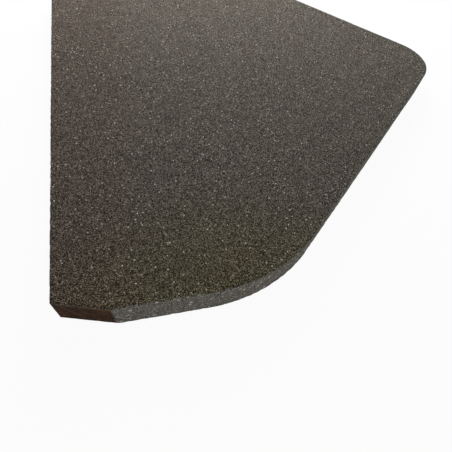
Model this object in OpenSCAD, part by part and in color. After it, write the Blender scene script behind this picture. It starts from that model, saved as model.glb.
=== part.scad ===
// Acoustic foam mat: one die-cut sheet of dark open-cell foam, lying flat.
// The origin is on the underside, at the middle of the sheet's box.
// X runs along the straight back edge, Y from the front tip to the back edge, Z up.

/* [Sheet] */
// Width between the left edge and the right edge
mat_w = 160; // [130:1:200]
// Length from the front tip to the back edge
mat_l = 176; // [150:1:220]
// Thickness of the foam
mat_t = 10; // [3:0.5:25]

/* [Front edges] */
// How far the front tip lies in from the right edge
tip_inset = 41.7; // [34:0.1:60]
// Length of the short front edge that starts at the tip
short_edge_l = 15; // [4:0.1:20]
// Angle of the short front edge to the back edge
short_edge_angle = 31; // [10:0.5:42]
// Angle of the right front edge to the back edge
right_front_angle = 47.5; // [43:0.5:60]
// Radius where the right front edge runs into the right edge
right_front_r = 48; // [10:1:70]
// Angle of the long left front edge to the back edge
left_front_angle = 40.5; // [30:0.5:48]

/* [Back corners] */
// Radius of the two corners at the ends of the back edge
back_r = 16; // [2:1:30]

/* [Hidden] */
// Circles are fine enough to look smooth
$fn = 96;
// Corners are trimmed a little past the outline, so that no edge is shared
trim_margin = 1;

left_x = -mat_w / 2;
right_x = mat_w / 2;
front_y = -mat_l / 2;
back_y = mat_l / 2;

// The outline's corners, before any of them is rounded
tip = [right_x - tip_inset, front_y];
blunt_corner = tip + short_edge_l * [cos(short_edge_angle), sin(short_edge_angle)];
right_front_corner = [right_x, blunt_corner.y + (right_x - blunt_corner.x) * tan(right_front_angle)];
right_back_corner = [right_x, back_y];
left_back_corner = [left_x, back_y];
left_front_corner = [left_x, tip.y + (tip.x - left_x) * tan(left_front_angle)];

// Direction from one point to another, one unit long
function heading(from, to) = (to - from) / norm(to - from);

// What a round of radius r takes off a corner whose two edges run to the points before and after it
module corner_waste(before, corner, after, r) {
    along_in = heading(corner, before);
    along_out = heading(corner, after);
    half_angle = acos(along_in * along_out) / 2;
    tangent_l = r / tan(half_angle);
    middle = heading([0, 0], along_in + along_out);
    centre = corner + middle * r / sin(half_angle);
    difference() {
        polygon([
            corner - middle * trim_margin,
            corner + along_in * tangent_l - middle * trim_margin,
            corner + along_in * tangent_l,
            centre,
            corner + along_out * tangent_l,
            corner + along_out * tangent_l - middle * trim_margin,
        ]);
        translate(centre) circle(r = r);
    }
}

// The die-cut outline, with its three round corners
module mat_outline() {
    difference() {
        polygon([
            tip,
            blunt_corner,
            right_front_corner,
            right_back_corner,
            left_back_corner,
            left_front_corner,
        ]);
        corner_waste(blunt_corner, right_front_corner, right_back_corner, right_front_r);
        corner_waste(right_front_corner, right_back_corner, left_back_corner, back_r);
        corner_waste(right_back_corner, left_back_corner, left_front_corner, back_r);
    }
}

// The whole mat, cut from one sheet of foam
module foam_mat() {
    color("#45413B")
    linear_extrude(height = mat_t)
    mat_outline();
}

foam_mat();
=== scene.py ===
# %% [markdown]
# # An acoustic foam mat
# The object is one flat sheet of charcoal open-cell polyurethane foam, die-cut to an outline with straight,
# slanted and rounded edges. The imported CAD solid already has the true outline and thickness. Blender adds
# what makes it foam: soft cut edges, a skin of opened cells, and a finish of dark cups and bright specks.
# The specks are painted glints, the cut sides are painted paler as lit, and the short front cut has painted
# brown shade.
# The first cell loads that solid as a fixed frame and keeps its box.

# %% Load the imported sheet
import math

import bmesh
import bpy
import numpy as np
from mathutils import Matrix, Vector
from mathutils.geometry import delaunay_2d_cdt


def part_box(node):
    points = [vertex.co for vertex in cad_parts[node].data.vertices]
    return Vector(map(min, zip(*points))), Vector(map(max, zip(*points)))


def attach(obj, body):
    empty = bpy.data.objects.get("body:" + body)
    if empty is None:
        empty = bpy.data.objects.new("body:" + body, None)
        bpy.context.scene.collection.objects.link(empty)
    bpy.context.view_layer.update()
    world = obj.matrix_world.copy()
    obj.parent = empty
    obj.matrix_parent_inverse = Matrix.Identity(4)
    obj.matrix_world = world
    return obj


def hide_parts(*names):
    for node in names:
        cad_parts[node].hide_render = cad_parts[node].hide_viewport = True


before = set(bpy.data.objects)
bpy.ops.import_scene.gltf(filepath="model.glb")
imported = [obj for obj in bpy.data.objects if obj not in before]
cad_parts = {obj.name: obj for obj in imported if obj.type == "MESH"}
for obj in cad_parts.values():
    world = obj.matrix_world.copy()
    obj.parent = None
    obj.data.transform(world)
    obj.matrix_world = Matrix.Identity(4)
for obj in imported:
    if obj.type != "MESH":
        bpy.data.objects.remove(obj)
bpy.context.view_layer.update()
MM = 0.001
sheet_low, sheet_high = (np.array(corner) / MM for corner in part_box("foam_mat"))
thickness = sheet_high[2] - sheet_low[2]
print("CAD sheet, mm:", np.round(sheet_high - sheet_low, 2))

# %% [markdown]
# ## The die-cut outline
# The outline could be typed in again, but then it could drift from the CAD. It is read from the top face
# of the solid instead: the edges that belong to only one top triangle are the rim, and walking along them
# from the front tip gives its points, in the same order each time. A copy is merged first, because the
# solid's triangles are loose.

# %% Read the rim of the top face
MERGE_DISTANCE = 0.001 * MM
LEVEL = 0.01 * MM


def rim_of_top_face(node_name):
    """The rim's points in millimetres, counter-clockwise seen from above, always from the front tip on."""
    solid = bmesh.new()
    solid.from_mesh(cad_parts[node_name].data)
    bmesh.ops.remove_doubles(solid, verts=solid.verts, dist=MERGE_DISTANCE)
    top_z = max(vert.co.z for vert in solid.verts)
    top_faces = {face for face in solid.faces if min(vert.co.z for vert in face.verts) > top_z - LEVEL}
    next_vert = {}
    for face in top_faces:
        for loop in face.loops:
            if sum(neighbour in top_faces for neighbour in loop.edge.link_faces) == 1:
                next_vert[loop.vert] = loop.link_loop_next.vert
    rim = [min(next_vert, key=lambda vert: vert.co.y)]
    while next_vert[rim[-1]] is not rim[0]:
        rim.append(next_vert[rim[-1]])
    points = np.array([vert.co.xy for vert in rim]) / MM
    solid.free()
    return points


cad_rim = rim_of_top_face("foam_mat")
print("rim points on the solid:", len(cad_rim))

# %% [markdown]
# ## Even steps along the rim
# Foam relief needs points at an even, small spacing. The straight cuts are simply divided. The solid's round
# corners come as short chords, and dividing those would leave flats, so new points on a chord are pushed out
# onto the circle that the chord belongs to. Sharp corners keep their own point.

# %% Measure the turns of the rim
SHARP_TURN = math.radians(10)


def turn_at(points):
    """How far the rim turns at each point, in radians."""
    before = points - np.roll(points, 1, axis=0)
    after = np.roll(points, -1, axis=0) - points
    cross = before[:, 0] * after[:, 1] - before[:, 1] * after[:, 0]
    dot = (before * after).sum(axis=1)
    return np.arctan2(cross, dot)


rim_turns = turn_at(cad_rim)
print("sharp corners:", int((rim_turns > SHARP_TURN).sum()))

# %% Divide the rim
# Millimetres: a side of the rim that is shorter than this belongs to a round corner.
CHORD_LIMIT = 8.0
RIM_PITCH = 0.45


def divided_rim(corners, turns, pitch):
    """Points along the rim, about one pitch apart, with the chords of round corners bent back into arcs."""
    points = []
    for index, start in enumerate(corners):
        following = (index + 1) % len(corners)
        span = corners[following] - start
        length = np.hypot(*span)
        steps = max(1, round(length / pitch))
        share = np.arange(steps) / steps
        step_points = start + share[:, None] * span
        if length < CHORD_LIMIT:
            arc = max(turns[index], turns[following])
            outward = np.array([span[1], -span[0]]) / length
            bulge = length / 2 * math.tan(arc / 4) * 4 * share * (1 - share)
            step_points = step_points + bulge[:, None] * outward
        points.append(step_points)
    return np.concatenate(points)


rim = divided_rim(cad_rim, rim_turns, RIM_PITCH)
rim_length = np.hypot(*(np.roll(rim, -1, axis=0) - rim).T).sum()
print("rim:", len(rim), "points,", round(rim_length, 1), "mm round")

# %% [markdown]
# ## The section of a cut edge
# A steel-rule die squeezes foam as it cuts, so the upper edge springs back a little rounded, and the lower
# one stays crisper. A Bevel modifier could round them, but the rows are needed anyway to carry the relief.
# So the section is a short list of rows, each with its height and how far it lies in from the rim, and the
# same rows run all the way round.

# %% Rows of the cut side
TOP_EDGE_ROUND = 0.4
UNDER_EDGE_ROUND = 0.2
SIDE_ROW_PITCH = 0.45
BEND_ANGLES = (0, 45, 90)


def edge_bend(radius):
    """Inset and drop of the rows round an edge, from the flat face to the upright cut."""
    quarter = [math.radians(angle) for angle in BEND_ANGLES]
    return [(radius * (1 - math.sin(a)), radius * (1 - math.cos(a))) for a in quarter]


def cut_side_rows():
    """Rows from the top face down to the underside, as pairs of inset and height in millimetres."""
    top = [(inset, thickness - drop) for inset, drop in edge_bend(TOP_EDGE_ROUND)]
    straight = thickness - TOP_EDGE_ROUND - UNDER_EDGE_ROUND
    count = round(straight / SIDE_ROW_PITCH)
    middle = [(0.0, UNDER_EDGE_ROUND + straight * (1 - i / count)) for i in range(1, count)]
    under = [(inset, drop) for inset, drop in reversed(edge_bend(UNDER_EDGE_ROUND))]
    return top + middle + under


rows = cut_side_rows()
row_count = len(rows)
print("rows on the cut side:", row_count)

# %% Which way is out
def outward_normals(points):
    """The direction out of the sheet at each rim point, longer at corners so that an inset stays even."""
    along = np.roll(points, -1, axis=0) - points
    along /= np.hypot(*along.T)[:, None]
    normal_after = np.column_stack([along[:, 1], -along[:, 0]])
    normal_before = np.roll(normal_after, 1, axis=0)
    middle = normal_after + normal_before
    return 2 * middle / (middle ** 2).sum(axis=1)[:, None]


rim_out = outward_normals(rim)
rim_count = len(rim)
print("longest outward step at a corner:", round(np.hypot(*rim_out.T).max(), 3))

# %% [markdown]
# ## A skin of small triangles
# The two faces need points as close together as the relief that they will carry. A square grid would show
# as lines under a low light, so the points lie on a hexagonal grid, each nudged by a seeded random step.
# A constrained Delaunay triangulation then joins them to the rim with no gaps and no thin slivers.
# The underside rests on the floor, so its points are further apart.

# %% Scatter points inside the rim
# Shares of the pitch: how far a point is nudged, and the room that it leaves beside the rim.
NUDGE = 0.22
RIM_GAP = 0.6
SEED = 20
chance = np.random.default_rng(SEED)


def points_inside(loop, pitch):
    """Nudged hexagonal grid points that lie well inside the convex rim."""
    low, high = loop.min(axis=0), loop.max(axis=0)
    row_step = pitch * math.sqrt(3) / 2
    ys = np.arange(low[1], high[1], row_step)
    xs = np.arange(low[0], high[0], pitch)
    grid_x, grid_y = np.meshgrid(xs, ys)
    grid_x = grid_x + (np.arange(len(ys)) % 2)[:, None] * pitch / 2
    points = np.column_stack([grid_x.ravel(), grid_y.ravel()])
    points += chance.uniform(-NUDGE * pitch, NUDGE * pitch, points.shape)
    depth = np.full(len(points), np.inf)
    for start, end in zip(cad_rim, np.roll(cad_rim, -1, axis=0)):
        along = (end - start) / np.hypot(*(end - start))
        depth = np.minimum(depth, (points - start) @ np.array([-along[1], along[0]]))
    return points[depth > TOP_EDGE_ROUND + RIM_GAP * pitch]


TOP_PITCH = 0.68
UNDERSIDE_PITCH = 1.7
top_loop = rim - rows[0][0] * rim_out
under_loop = rim - rows[-1][0] * rim_out
top_inner = points_inside(top_loop, TOP_PITCH)
under_inner = points_inside(under_loop, UNDERSIDE_PITCH)
print("points on the top face:", len(top_inner), "and underneath:", len(under_inner))

# %% Join them into triangles
# The kind of result that fills the inside of the loop, its margin, and where its faces are in the answer.
DELAUNAY_INSIDE = 1
DELAUNAY_MARGIN = 1e-7
DELAUNAY_FACES = 2


def triangles_between(loop, inner):
    """Triangles that fill the loop; in their numbering the loop's points come before the inner ones."""
    flat = [Vector(point) for point in np.concatenate([loop, inner])]
    edges = [(i, (i + 1) % len(loop)) for i in range(len(loop))]
    answer = delaunay_2d_cdt(flat, edges, [], DELAUNAY_INSIDE, DELAUNAY_MARGIN)
    return np.array(answer[DELAUNAY_FACES])


top_triangles = triangles_between(top_loop, top_inner)
under_triangles = triangles_between(under_loop, under_inner)
print("triangles on the top face:", len(top_triangles), "and underneath:", len(under_triangles))

# %% [markdown]
# ## One closed sheet
# The mat is foam all through, so its skin is closed. A Solidify modifier could thicken a flat sheet, but its
# sides would be plain, with sharp edges. Here the rows, the top face and the underside share rim points and
# join into one closed mesh. Points in the middle of a cut side are nudged like those of the faces, or their
# rows would show as lines.

# %% Points of the sheet
def side_points():
    """The rows' points in millimetres, nudged along the cut and up between the two rounded edges."""
    along = np.column_stack([-rim_out[:, 1], rim_out[:, 0]])
    bend_rows = len(BEND_ANGLES)
    rings = []
    for row, (inset, z) in enumerate(rows):
        ring = np.column_stack([rim - inset * rim_out, np.full(rim_count, z)])
        if bend_rows <= row < row_count - bend_rows:
            step = chance.uniform(-NUDGE, NUDGE, (rim_count, 2))
            step[np.abs(turn_at(rim)) > SHARP_TURN] = 0
            ring[:, :2] += step[:, :1] * RIM_PITCH * along
            ring[:, 2] += step[:, 1] * SIDE_ROW_PITCH
        rings.append(ring)
    return np.concatenate(rings)


def at_height(points, z):
    """Flat points with a height."""
    return np.column_stack([points, np.full(len(points), z)])


top_points = at_height(top_inner, rows[0][1])
under_points = at_height(under_inner, rows[-1][1])
sheet_points = np.concatenate([side_points(), top_points, under_points])
print("points of the sheet:", len(sheet_points))

# %% Faces of the sheet
def side_quads():
    """Quads between each row and the one below it, facing out."""
    ring = np.arange(rim_count)
    ahead = (ring + 1) % rim_count
    upper = np.arange(row_count - 1)[:, None] * rim_count
    lower = upper + rim_count
    return np.stack([upper + ring, lower + ring, lower + ahead, upper + ahead], axis=-1).reshape(-1, 4)


def renumbered(triangles, loop_start, inner_start):
    """A face's triangles in the numbering of the whole sheet."""
    return np.where(triangles < rim_count, triangles + loop_start, triangles - rim_count + inner_start)


side_count = row_count * rim_count
top_faces = renumbered(top_triangles, 0, side_count)
under_faces = renumbered(under_triangles, side_count - rim_count, side_count + len(top_inner))
sheet_faces = side_quads().tolist() + top_faces.tolist() + under_faces[:, ::-1].tolist()

sheet_mesh = bpy.data.meshes.new("foam_sheet")
sheet_mesh.from_pydata((sheet_points * MM).tolist(), [], sheet_faces)
sheet_mesh.shade_smooth()
foam_sheet = bpy.data.objects.new("foam_sheet", sheet_mesh)
bpy.context.collection.objects.link(foam_sheet)
print("sheet:", len(sheet_mesh.vertices), "points,", len(sheet_mesh.polygons), "faces")

# %% [markdown]
# ## Marks for the finish
# The finish differs from place to place: a fresh cut shows more open cells than the two faces and is painted
# paler as lit, and the short cut beside the front tip has painted dark brown shade. Painting masks by hand
# would be lost with every change of the mesh, so each mark is a number kept on the points, worked out from
# the rows and the rim.

# %% Find the short front cut
SHORT_CUT_FADE = 1.0
ON_THE_CUT = 0.01
front_tip = cad_rim[cad_rim[:, 1].argmin()]
sharp_and_right = (rim_turns > SHARP_TURN) & (cad_rim[:, 0] > front_tip[0] + ON_THE_CUT)
blunt_corner = cad_rim[sharp_and_right][0]
short_length = np.hypot(*(blunt_corner - front_tip))
short_along = (blunt_corner - front_tip) / short_length
run = (rim - front_tip) @ short_along
stray = np.abs((rim - front_tip) @ np.array([-short_along[1], short_along[0]]))
on_short_cut = (stray < ON_THE_CUT) & (run > -ON_THE_CUT) & (run < short_length + ON_THE_CUT)
rim_short_cut = np.where(on_short_cut, np.clip((short_length - run) / SHORT_CUT_FADE, 0, 1), 0)
print("short cut from", np.round(front_tip, 1), "to", np.round(blunt_corner, 1))

# %% Mark the cut sides and the painted shade
# How far below the top face the painted shade starts and is full, in millimetres.
PAINTED_SHADE_STARTS_BELOW, PAINTED_SHADE_FULL_BELOW = 0.0, 2.0
MARK_MIDDLE = 0.5
row_insets, row_heights = np.array(rows).T
row_cut = 1 - row_insets / np.where(row_heights > thickness / 2, TOP_EDGE_ROUND, UNDER_EDGE_ROUND)
row_painted_shade = np.interp(thickness - row_heights, (PAINTED_SHADE_STARTS_BELOW, PAINTED_SHADE_FULL_BELOW), (0, 1))


def keep_on_points(name, row_values, rim_values):
    """Keeps a number on each point, from its row and its place along the rim; the two faces have none."""
    values = np.zeros(len(sheet_mesh.vertices), np.float32)
    values[:side_count] = (row_values[:, None] * rim_values).ravel()
    sheet_mesh.attributes.new(name, "FLOAT", "POINT").data.foreach_set("value", values)
    print("points marked as", name + ":", int((values > MARK_MIDDLE).sum()))


# The cut sides' mark deepens their relief and carries their painted light.
keep_on_points("cut_side", row_cut, 1 - rim_short_cut)
# The short front cut's mark carries painted brown shade.
keep_on_points("painted_shade", row_painted_shade, rim_short_cut)

# %% [markdown]
# ## Relief of opened cells
# Open-cell foam is a froth of bubbles that the knife has sliced, so its skin is all small cups with thin
# rims. Sculpting or a Displace modifier with an image could press them in. A Geometry Nodes tree needs no
# image and keeps its sizes as named inputs: a Voronoi pattern gives the cups, a soft noise the slight
# unevenness of a sheet. Both push the skin inwards, and a small swell moves it out by as much as they take
# on average, so the mat keeps its size. The finest cells are too small for this mesh and are left to the
# finish.

# %% Start the relief tree
RELIEF_INPUTS = ("Cell size", "Face cup depth", "Cut cup depth", "Unevenness", "Unevenness size", "Swell")


def add_node(tree, kind, links=None, values=None, **settings):
    """Adds a node, sets its properties and unlinked inputs, and links the inputs that are named."""
    node = tree.nodes.new(kind)
    for name, value in settings.items():
        setattr(node, name, value)
    for key, value in (values or {}).items():
        node.inputs[key].default_value = value
    for key, socket in (links or {}).items():
        tree.links.new(socket, node.inputs[key])
    return node


relief = bpy.data.node_groups.new("cell_relief", "GeometryNodeTree")
relief.interface.new_socket("Geometry", in_out="INPUT", socket_type="NodeSocketGeometry")
for input_name in RELIEF_INPUTS:
    relief.interface.new_socket(input_name, in_out="INPUT", socket_type="NodeSocketFloat")
relief.interface.new_socket("Foam", in_out="INPUT", socket_type="NodeSocketMaterial")
relief.interface.new_socket("Geometry", in_out="OUTPUT", socket_type="NodeSocketGeometry")
given = add_node(relief, "NodeGroupInput").outputs
position = add_node(relief, "GeometryNodeInputPosition").outputs[0]
print("sockets of the relief:", [item.name for item in relief.interface.items_tree])

# %% How deep the cups are
# Where a cup's floor ends and its rim begins, in cell sizes from the cell's middle.
CUP_FLOOR, CUP_RIM = 0.1, 0.6


def cup_depth():
    """A dip in each cell, deepest at its middle, and deeper on cut sides than on the two faces."""
    per_cell = add_node(relief, "ShaderNodeMath", {1: given["Cell size"]}, {0: 1.0}, operation="DIVIDE")
    cells = add_node(relief, "ShaderNodeTexVoronoi", {"Vector": position, "Scale": per_cell.outputs[0]},
                     feature="SMOOTH_F1")
    cup = add_node(relief, "ShaderNodeMapRange", {"Value": cells.outputs["Distance"]},
                   {"From Min": CUP_FLOOR, "From Max": CUP_RIM, "To Min": 1.0, "To Max": 0.0},
                   interpolation_type="SMOOTHSTEP")
    cut = add_node(relief, "GeometryNodeInputNamedAttribute", values={"Name": "cut_side"},
                   data_type="FLOAT")
    deepest = add_node(relief, "ShaderNodeMapRange", {"Value": cut.outputs["Attribute"],
                       "To Min": given["Face cup depth"], "To Max": given["Cut cup depth"]})
    return add_node(relief, "ShaderNodeMath", {0: cup.outputs[0], 1: deepest.outputs[0]},
                    operation="MULTIPLY")


cups = cup_depth()
print("nodes for the cups:", len(relief.nodes))

# %% How uneven the sheet is, and the push inwards
# Only the height of this point counts: it is the floor, and its other two numbers lie well outside the mat.
LOWEST_POINT = (-1.0, -1.0, 0.0)
WAVE_DETAIL = 1.0


def uneven_depth():
    """A slow rise and fall of the whole skin."""
    per_wave = add_node(relief, "ShaderNodeMath", {1: given["Unevenness size"]}, {0: 1.0},
                        operation="DIVIDE")
    wave = add_node(relief, "ShaderNodeTexNoise", {"Vector": position, "Scale": per_wave.outputs[0]},
                    {"Detail": WAVE_DETAIL})
    return add_node(relief, "ShaderNodeMath", {0: wave.outputs[0], 1: given["Unevenness"]},
                    operation="MULTIPLY")


def push_inwards(depth):
    """Moves every point against its normal but not below the floor, and gives the result its material."""
    inward = add_node(relief, "ShaderNodeMath", {0: depth}, {1: -1.0}, operation="MULTIPLY")
    normal = add_node(relief, "GeometryNodeInputNormal")
    offset = add_node(relief, "ShaderNodeVectorMath",
                      {"Vector": normal.outputs[0], "Scale": inward.outputs[0]}, operation="SCALE")
    moved = add_node(relief, "GeometryNodeSetPosition",
                     {"Geometry": given["Geometry"], "Offset": offset.outputs[0]})
    not_below = add_node(relief, "ShaderNodeVectorMath", {0: position}, {1: LOWEST_POINT},
                         operation="MAXIMUM")
    resting = add_node(relief, "GeometryNodeSetPosition",
                       {"Geometry": moved.outputs[0], "Position": not_below.outputs[0]})
    real = add_node(relief, "GeometryNodeRealizeInstances", {"Geometry": resting.outputs[0]})
    dressed = add_node(relief, "GeometryNodeSetMaterial",
                       {"Geometry": real.outputs[0], "Material": given["Foam"]})
    add_node(relief, "NodeGroupOutput", {"Geometry": dressed.outputs[0]})


dips = add_node(relief, "ShaderNodeMath", {0: cups.outputs[0], 1: uneven_depth().outputs[0]},
                operation="ADD")
skin_depth = add_node(relief, "ShaderNodeMath", {0: dips.outputs[0], 1: given["Swell"]},
                      operation="SUBTRACT")
push_inwards(skin_depth.outputs[0])
print("nodes of the whole relief:", len(relief.nodes))

# %% [markdown]
# ## Charcoal polyurethane foam
# The foam is polyurethane, foamed, tinted with carbon black and sliced open. It has no gloss as a whole, yet
# bits of cell skin catch the light. So the eye sees a salt-and-pepper grain of dark cups and paler struts,
# a drift of tint over a centimetre or so, and bright specks, here painted into the colour as glints. A noise
# texture would give soft clouds. Voronoi cells give every opened bubble one tone of its own, and drawn about
# as fine as the real ones they behave as these do: crisp close up, and blended by the eye further off.
# Object coordinates keep the pattern fixed in the foam on every side.

# %% Colours of the foam
# The dark of a cup, the body of the foam and the pale of a strut, on the two faces and on a cut side.
# The cut side's are paler: painted light, a lit copy of the face colours.
FACE_COLOURS = "#121110", "#3E3B36", "#A0998E"
PAINTED_LIT_CUT_COLOURS = "#2F2C28", "#5E5B53", "#B9B4A8"


def linear(hex_colour):
    """An sRGB hex colour as linear red, green, blue and full alpha."""
    parts = [int(hex_colour[i:i + 2], 16) / 255 for i in (1, 3, 5)]
    return [c / 12.92 if c <= 0.04045 else ((c + 0.055) / 1.055) ** 2.4 for c in parts] + [1.0]


print("foam body in linear light:", [round(c, 3) for c in linear(FACE_COLOURS[1])[:3]])

# %% A grain of cells
# Width of a cell in millimetres. Six cells in ten run from a cup's dark to the body's tone, and the rest
# from there to the pale of a strut.
CELL_WIDTH = 0.17
TONE_STOPS = (0.0, 0.6, 1.0)


def cell_tone(tree, place):
    """A random tone for each cell, from 0 to 1."""
    cells = add_node(tree, "ShaderNodeTexVoronoi", {"Vector": place}, {"Scale": 1 / (CELL_WIDTH * MM)})
    own = add_node(tree, "ShaderNodeSeparateColor", {"Color": cells.outputs["Color"]})
    return own.outputs[0]


def cell_colour(tree, tone, colours):
    """The colour of a tone, from the dark of a cup through the body to the pale of a strut."""
    ramp = add_node(tree, "ShaderNodeValToRGB", {"Fac": tone})
    stops = ramp.color_ramp.elements
    stops.new(TONE_STOPS[1])
    for stop, stop_place, colour in zip(stops, TONE_STOPS, colours):
        stop.position = stop_place
        stop.color = linear(colour)
    return ramp.outputs[0]


print("cell width, mm:", CELL_WIDTH)

# %% [markdown]
# ## Painted glints
# Where the knife has torn a cell wall, a bit of skin lies flat and catches the light. Flakes of geometry
# would be far too many, so these glints are painted as bright dots in the base colour. Each Voronoi cell has
# one centre, and a point close to it is bright. The cell's own random number says whether its speck is lit
# and how strongly.

# %% Painted glints where bits of cell skin catch the light
# Spacing and radius of the specks in millimetres, the share of cells that have none, and how bright the
# brightest are. The wide ones are larger than a real bit of skin, so that they show from further away.
# A cut side has larger, duller painted glints as well.
PAINTED_GLINT_COLOUR = "#F4F1E8"
GLINTS = ((0.8, 0.12, 0.6, 0.85), (1.6, 0.24, 0.35, 0.75))
CUT_GLINTS = ((2.2, 0.45, 0.4, 0.7),)
# A speck is full out to the first of these shares of its radius and ends at the second.
GLINT_FULL, GLINT_ENDS = 0.6, 1.2
DIMMEST_GLINT = 0.4


def painted_glint_share(tree, place, layers):
    """How much a point belongs to a painted glint of any layer, from 0 to 1."""
    share = None
    for spacing, radius, empty, brightest in layers:
        reach = radius / spacing
        cells = add_node(tree, "ShaderNodeTexVoronoi", {"Vector": place}, {"Scale": 1 / (spacing * MM)})
        dot = add_node(tree, "ShaderNodeMapRange", {"Value": cells.outputs["Distance"]},
                       {"From Min": GLINT_ENDS * reach, "From Max": GLINT_FULL * reach})
        own = add_node(tree, "ShaderNodeSeparateColor", {"Color": cells.outputs["Color"]})
        flash = add_node(tree, "ShaderNodeMapRange", {"Value": own.outputs[1]},
                         {"From Min": empty, "To Min": DIMMEST_GLINT * brightest, "To Max": brightest})
        lit = add_node(tree, "ShaderNodeMath", {0: own.outputs[1]}, {1: empty}, operation="GREATER_THAN")
        seen = add_node(tree, "ShaderNodeMath", {0: flash.outputs[0], 1: lit.outputs[0]},
                        operation="MULTIPLY")
        speck = add_node(tree, "ShaderNodeMath", {0: dot.outputs[0], 1: seen.outputs[0]},
                         operation="MULTIPLY")
        both = {0: speck.outputs[0]} if share is None else {0: speck.outputs[0], 1: share}
        share = add_node(tree, "ShaderNodeMath", both, {1: 0.0}, operation="MAXIMUM").outputs[0]
    return share


print("speck sizes, mm:", [2 * radius for spacing, radius, empty, brightest in GLINTS + CUT_GLINTS])

# %% [markdown]
# ## A drift of tint
# The tint leans to olive at the back right and to plum at the front left, in patches of both. Round the
# right front cut it is painted yellower, which stands in for the sky's pale reflection that greys the far
# top and is weaker at the front. Masks painted on the mesh could do it, but a slow noise, a slope and a
# distance in the foam's own coordinates do it without any painting.

# %% Tints by place
# A colour Mix node has its factor in input 0, its two colours in inputs 6 and 7 and its result in output 2.
# The patches have a width in millimetres and a share that says how far they shift the tint.
PATCH_DETAIL = 2.0
NOISE_MIDDLE = 0.5
DRIFT = 9.0
DRIFT_SHARE = 0.8
# The way in which the tint leans, and where along it, in millimetres from the origin, it is olive and plum.
OLIVE_TINT, PLUM_TINT = "#FFFCF7", "#FFF0EA"
DRIFT_DIRECTION = (0.71, 0.71, 0.0)
OLIVE_FROM, PLUM_FROM = -10.0, -27.0
# The painted yellow, in place of the sky's weaker reflection at the front, lies round a point beside the
# right edge. These are millimetres, the last two from that point.
FRONT_YELLOW_TINT = "#FFFFD2"
YELLOW_BESIDE_EDGE = 10.0
YELLOW_WITHIN, YELLOW_ENDS = 18.0, 65.0


def yellower_at_front(tree, place, tint):
    """The tint painted yellower round a point beside the right edge, for the sky's weaker reflection at the
    front.
    """
    centre = Vector((sheet_high[0] + YELLOW_BESIDE_EDGE, blunt_corner[1], thickness)) * MM
    away = add_node(tree, "ShaderNodeVectorMath", {0: place}, {1: centre}, operation="DISTANCE")
    front_share = add_node(tree, "ShaderNodeMapRange", {"Value": away.outputs["Value"]},
                   {"From Min": YELLOW_ENDS * MM, "From Max": YELLOW_WITHIN * MM})
    front_tinted = add_node(tree, "ShaderNodeMix", {0: front_share.outputs[0], 6: tint}, {7: linear(FRONT_YELLOW_TINT)},
                    data_type="RGBA", blend_type="MULTIPLY")
    return front_tinted.outputs[2]


def drifting_tint(tree, place):
    """A tint that leans to olive at the back right and to plum at the front left, in patches of both."""
    across = add_node(tree, "ShaderNodeVectorMath", {0: place}, {1: DRIFT_DIRECTION},
                      operation="DOT_PRODUCT")
    lean = add_node(tree, "ShaderNodeMapRange", {"Value": across.outputs["Value"]},
                    {"From Min": OLIVE_FROM * MM, "From Max": PLUM_FROM * MM})
    patch = add_node(tree, "ShaderNodeTexNoise", {"Vector": place},
                     {"Scale": 1 / (DRIFT * MM), "Detail": PATCH_DETAIL})
    centred = add_node(tree, "ShaderNodeMath", {0: patch.outputs[0]}, {1: NOISE_MIDDLE},
                       operation="SUBTRACT")
    plum = add_node(tree, "ShaderNodeMath", {0: centred.outputs[0], 2: lean.outputs[0]},
                    {1: 2 * DRIFT_SHARE}, operation="MULTIPLY_ADD", use_clamp=True)
    tint = add_node(tree, "ShaderNodeMix", {0: plum.outputs[0]},
                    {6: linear(OLIVE_TINT), 7: linear(PLUM_TINT)}, data_type="RGBA")
    return yellower_at_front(tree, place, tint.outputs[2])


print("the tint drifts over about", DRIFT, "mm")

# %% [markdown]
# ## Painted brown shade
# The short front cut is painted dark brown: painted shade, with the brown of light bounced off a wooden
# table.
# A brown slab of its own would show a hard joint, while painted colour lies in the same cells as the rest.
# So the mark kept on the points is shifted by a slow noise, which gives it a ragged edge, and its cells have
# brown tones of their own, paler and darker in patches.

# %% The painted shade
# Width of its patches in millimetres, how far they shift its edge and how soft that is, both as shares of
# the mark, how much of the foam's own colour it covers, and how far its tones follow the patches.
# A Mix node for numbers has its two values in inputs 2 and 3 and its result in output 0.
# Painted brown shade on the short front cut: its dark, middle and pale tones.
PAINTED_SHADE_COLOURS = "#1A0D04", "#38210D", "#6A4522"
PAINTED_SHADE_PATCH = 2.5
PAINTED_SHADE_RAGGED = 0.9
PAINTED_SHADE_EDGE = 0.25
PAINTED_SHADE_COVER = 0.95
PAINTED_SHADE_BLOTCHES = 0.5
PALEST_PATCH, DARKEST_PATCH = 0.65, 0.35


def painted_shade_patches(tree, place):
    """A slow noise that makes the painted shade blotchy."""
    return add_node(tree, "ShaderNodeTexNoise", {"Vector": place},
                    {"Scale": 1 / (PAINTED_SHADE_PATCH * MM), "Detail": PATCH_DETAIL}).outputs[0]


def painted_shade_colour(tree, tone, patches):
    """The painted shade's colour of a cell, from its own tone and that of its patch."""
    patch_tone = add_node(tree, "ShaderNodeMapRange", {"Value": patches},
                          {"From Min": DARKEST_PATCH, "From Max": PALEST_PATCH})
    blotched = add_node(tree, "ShaderNodeMix", {2: tone, 3: patch_tone.outputs[0]}, {0: PAINTED_SHADE_BLOTCHES})
    return cell_colour(tree, blotched.outputs[0], PAINTED_SHADE_COLOURS)


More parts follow.
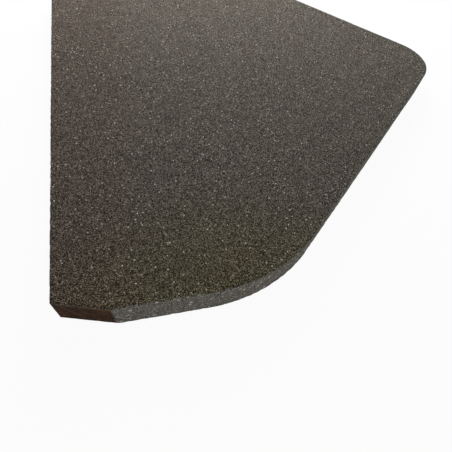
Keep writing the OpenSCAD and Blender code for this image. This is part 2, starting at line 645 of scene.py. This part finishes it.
def painted_shade_share(tree, patches):
    """How much painted shade a point has: the mark kept on it, with a ragged edge."""
    mark = add_node(tree, "ShaderNodeAttribute", attribute_name="painted_shade")
    shifted = add_node(tree, "ShaderNodeMath", {0: patches, 2: mark.outputs["Fac"]}, {1: PAINTED_SHADE_RAGGED},
                       operation="MULTIPLY_ADD")
    edge = MARK_MIDDLE + PAINTED_SHADE_RAGGED * NOISE_MIDDLE
    soaked = add_node(tree, "ShaderNodeMapRange", {"Value": shifted.outputs[0]},
                      {"From Min": edge - PAINTED_SHADE_EDGE, "From Max": edge + PAINTED_SHADE_EDGE, "To Max": PAINTED_SHADE_COVER})
    return soaked.outputs[0]


print("the stain's patches are about", PAINTED_SHADE_PATCH, "mm wide")

# %% [markdown]
# ## The layers together
# The layers lie over each other: the cells' own tones, tinted by place, painted paler on a cut side as lit,
# then the specks as painted glints, and the painted brown shade over all of them. A second material for the
# cut sides would need a seam along the edge, so one material blends by the marks on the points. Solid
# polyurethane has an
# IOR near 1.5, but foam loses its gloss in the cups, so the specular level is low and only the specks are
# less rough.

# %% The foam's finish
BUMP_HEIGHT = 0.12
BUMP_STRENGTH = 0.5
FOAM_ROUGHNESS, SKIN_ROUGHNESS = 0.92, 0.45
FOAM_IOR = 1.45
SPECULAR_LEVEL = 0.06
SHEEN_WEIGHT, SHEEN_ROUGHNESS = 0.06, 0.5


def charcoal_foam():
    """Open-cell foam: matt, dark cups, paler struts, painted glints, painted light on cut sides, painted
    brown shade.
    """
    material = bpy.data.materials.new("charcoal_open_cell_foam")
    material.use_nodes = True
    tree = material.node_tree
    tree.nodes.clear()
    place = add_node(tree, "ShaderNodeTexCoord").outputs["Object"]
    tone = cell_tone(tree, place)
    face = add_node(tree, "ShaderNodeMix", {6: cell_colour(tree, tone, FACE_COLOURS),
                    7: drifting_tint(tree, place)}, {0: 1.0}, data_type="RGBA", blend_type="MULTIPLY")
    cut = add_node(tree, "ShaderNodeAttribute", attribute_name="cut_side")
    # Cut sides take paler colours: painted light.
    sliced = add_node(tree, "ShaderNodeMix", {0: cut.outputs["Fac"], 6: face.outputs[2],
                      7: cell_colour(tree, tone, PAINTED_LIT_CUT_COLOURS)}, data_type="RGBA")
    # Painted glints: bright dots mixed into the base colour; their share also lowers the roughness.
    painted_cut_glints = add_node(tree, "ShaderNodeMath",
                    {0: painted_glint_share(tree, place, CUT_GLINTS), 1: cut.outputs["Fac"]}, operation="MULTIPLY")
    flashes = add_node(tree, "ShaderNodeMath",
                       {0: painted_glint_share(tree, place, GLINTS), 1: painted_cut_glints.outputs[0]}, operation="MAXIMUM")
    with_painted_glints = add_node(tree, "ShaderNodeMix", {0: flashes.outputs[0], 6: sliced.outputs[2]},
                        {7: linear(PAINTED_GLINT_COLOUR)}, data_type="RGBA")
    patches = painted_shade_patches(tree, place)
    # Painted brown shade over the short front cut.
    with_painted_shade = add_node(tree, "ShaderNodeMix", {0: painted_shade_share(tree, patches), 6: with_painted_glints.outputs[2],
                       7: painted_shade_colour(tree, tone, patches)}, data_type="RGBA")
    bump = add_node(tree, "ShaderNodeBump", {"Height": tone},
                    {"Strength": BUMP_STRENGTH, "Distance": BUMP_HEIGHT * MM})
    gloss = add_node(tree, "ShaderNodeMapRange", {"Value": flashes.outputs[0]},
                     {"To Min": FOAM_ROUGHNESS, "To Max": SKIN_ROUGHNESS})
    shader = add_node(tree, "ShaderNodeBsdfPrincipled",
                      {"Base Color": with_painted_shade.outputs[2], "Roughness": gloss.outputs[0],
                       "Normal": bump.outputs[0]},
                      {"IOR": FOAM_IOR, "Specular IOR Level": SPECULAR_LEVEL,
                       "Sheen Weight": SHEEN_WEIGHT, "Sheen Roughness": SHEEN_ROUGHNESS})
    add_node(tree, "ShaderNodeOutputMaterial", {"Surface": shader.outputs[0]})
    return material


foam = charcoal_foam()
print("nodes of the foam's finish:", len(foam.node_tree.nodes))

# %% [markdown]
# ## Press the relief into the sheet
# The cups of the two faces are shallow, because a sheet is split from its block with a fine band knife. The
# die crushes more cells, so the cut sides are rougher. A cup in the mesh is wider than a real cell, which is
# finer than the mesh. The modifier's result becomes a plain mesh, because the frame takes no live modifiers.

# %% Set the relief's sizes and apply it
RELIEF = {
    "Cell size": 1.2 * MM,
    "Face cup depth": 0.05 * MM,
    "Cut cup depth": 0.13 * MM,
    "Unevenness": 0.2 * MM,
    "Unevenness size": 35 * MM,
    "Swell": 0.13 * MM,
    "Foam": foam,
}
press = foam_sheet.modifiers.new("cell_relief", "NODES")
press.node_group = relief
for item in relief.interface.items_tree:
    if item.in_out == "INPUT" and item.name in RELIEF:
        press[item.identifier] = RELIEF[item.name]
evaluated = foam_sheet.evaluated_get(bpy.context.evaluated_depsgraph_get())
pressed_mesh = bpy.data.meshes.new_from_object(evaluated)
foam_sheet.modifiers.remove(press)
foam_sheet.data = pressed_mesh
pressed_mesh.calc_loop_triangles()
print("pressed sheet:", len(pressed_mesh.loop_triangles), "triangles")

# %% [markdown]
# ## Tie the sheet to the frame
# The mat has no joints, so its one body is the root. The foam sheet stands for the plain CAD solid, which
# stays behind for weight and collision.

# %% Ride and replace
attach(foam_sheet, "root")
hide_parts("foam_mat")
print("foam_sheet rides on root and stands for foam_mat")

# %% [markdown]
# ## A pale floor
# The mat lies on a plain white table top. A matt white floor alone would look grey under soft light, so what
# the camera sees of it is mostly plain white, and the small matt share keeps the mat's faint shadow.

# %% The floor
FLOOR_SIZE = 6.0
FLOOR_WHITE = "#F2F2F2"
PLAIN_WHITE = "#FFFFFF"
WHITE_STRENGTH = 1.0
WHITE_SHARE = 0.95


def background_rays(tree):
    """1 for the rays that show a background: from the camera, off gloss and through glass."""
    ray = add_node(tree, "ShaderNodeLightPath").outputs
    share = ray["Is Camera Ray"]
    for kind in ("Is Glossy Ray", "Is Transmission Ray"):
        share = add_node(tree, "ShaderNodeMath", {0: share, 1: ray[kind]}, operation="MAXIMUM").outputs[0]
    return share


def pale_floor():
    """A matt white floor that looks near white and keeps the mat's shadow."""
    material = bpy.data.materials.new("pale_floor")
    material.use_nodes = True
    tree = material.node_tree
    tree.nodes.clear()
    share = add_node(tree, "ShaderNodeMath", {0: background_rays(tree)}, {1: WHITE_SHARE},
                     operation="MULTIPLY")
    matt = add_node(tree, "ShaderNodeBsdfDiffuse", values={"Color": linear(FLOOR_WHITE)})
    white = add_node(tree, "ShaderNodeEmission",
                     values={"Color": linear(PLAIN_WHITE), "Strength": WHITE_STRENGTH})
    mixed = add_node(tree, "ShaderNodeMixShader",
                     {0: share.outputs[0], 1: matt.outputs[0], 2: white.outputs[0]})
    add_node(tree, "ShaderNodeOutputMaterial", {"Surface": mixed.outputs[0]})
    return material


half = FLOOR_SIZE / 2
floor_corners = [(-half, -half, 0), (half, -half, 0), (half, half, 0), (-half, half, 0)]
floor_mesh = bpy.data.meshes.new("floor")
floor_mesh.from_pydata(floor_corners, [], [(0, 1, 2, 3)])
floor_mesh.materials.append(pale_floor())
floor = bpy.data.objects.new("floor", floor_mesh)
bpy.context.collection.objects.link(floor)
print("floor:", FLOOR_SIZE, "m square")

# %% [markdown]
# ## Soft light
# The mat is brightest along its back edge and falls to under half of that at the front tip, as beside a
# window. A sun lamp would light all of it alike. One soft box close behind the back edge gives that fall by
# distance alone. Another one, further off and low in front on the right, lights the cut side that faces the
# viewer. A dim even sky fills the rest.

# %% Two soft boxes
def soft_box(name, place, aim, size, power):
    """A square area light in metres and watts that looks at a point."""
    lamp = bpy.data.lights.new(name, "AREA")
    lamp.shape = "SQUARE"
    lamp.size = size
    lamp.energy = power
    box = bpy.data.objects.new(name, lamp)
    box.location = place
    box.rotation_euler = (Vector(aim) - Vector(place)).to_track_quat("-Z", "Y").to_euler()
    box.visible_camera = False
    bpy.context.collection.objects.link(box)
    return box


WINDOW_PLACE, WINDOW_SIZE, WINDOW_POWER = (-0.10, 0.17, 0.17), 0.2, 1.06
FILL_PLACE, FILL_SIZE, FILL_POWER = (0.45, -0.35, 0.10), 0.3, 1.15
middle_of_top = (0.0, 0.0, thickness * MM)
end_of_front_cut = (*(blunt_corner * MM), thickness / 2 * MM)
soft_box("window", WINDOW_PLACE, middle_of_top, WINDOW_SIZE, WINDOW_POWER)
soft_box("front_fill", FILL_PLACE, end_of_front_cut, FILL_SIZE, FILL_POWER)

# %% A dim sky
SKY_STRENGTH = 0.06
world = bpy.data.worlds.new("studio")
world.use_nodes = True
sky = world.node_tree
sky.nodes.clear()
room = add_node(sky, "ShaderNodeBackground",
                values={"Color": linear(PLAIN_WHITE), "Strength": SKY_STRENGTH})
backdrop = add_node(sky, "ShaderNodeBackground",
                    values={"Color": linear(PLAIN_WHITE), "Strength": WHITE_STRENGTH})
sky_mix = add_node(sky, "ShaderNodeMixShader",
                   {0: background_rays(sky), 1: room.outputs[0], 2: backdrop.outputs[0]})
add_node(sky, "ShaderNodeOutputWorld", {"Surface": sky_mix.outputs[0]})
bpy.context.scene.world = world
bpy.context.scene.view_settings.view_transform = "Standard"
print("sky strength:", SKY_STRENGTH)

# %% [markdown]
# ## The camera
# The view looks down over the front tip with a wide lens held close. Its place is given from the sheet's own
# edges, and its lens from how many picture widths away the picture plane lies.

# %% Place the camera
IMAGE_PX = 452
FOCAL_PX = 366
SENSOR_MM = 36
CLIP_START = 0.005
# Millimetres from the sheet's right edge, back edge and top face.
CAMERA_RIGHT_OF_EDGE = 5.3
CAMERA_BEFORE_BACK_EDGE = 182.9
CAMERA_ABOVE_TOP = 85.3
CAMERA_HEADING = math.radians(117.7)
CAMERA_TILT_DOWN = math.radians(55.96)
CAMERA_ROLL = math.radians(9.2)

lens = bpy.data.cameras.new("camera")
lens.sensor_width = SENSOR_MM
lens.lens = SENSOR_MM * FOCAL_PX / IMAGE_PX
lens.clip_start = CLIP_START
camera = bpy.data.objects.new("camera", lens)
bpy.context.collection.objects.link(camera)
stand = Vector((sheet_high[0] + CAMERA_RIGHT_OF_EDGE, sheet_high[1] - CAMERA_BEFORE_BACK_EDGE,
                sheet_high[2] + CAMERA_ABOVE_TOP)) * MM
turn = Matrix.Rotation(CAMERA_HEADING - math.pi / 2, 4, "Z")
tilt = Matrix.Rotation(math.pi / 2 - CAMERA_TILT_DOWN, 4, "X")
roll = Matrix.Rotation(CAMERA_ROLL, 4, "Z")
camera.matrix_world = Matrix.Translation(stand) @ turn @ tilt @ roll
bpy.context.scene.camera = camera
print("lens:", round(lens.lens, 2), "mm on a sensor of", SENSOR_MM, "mm")
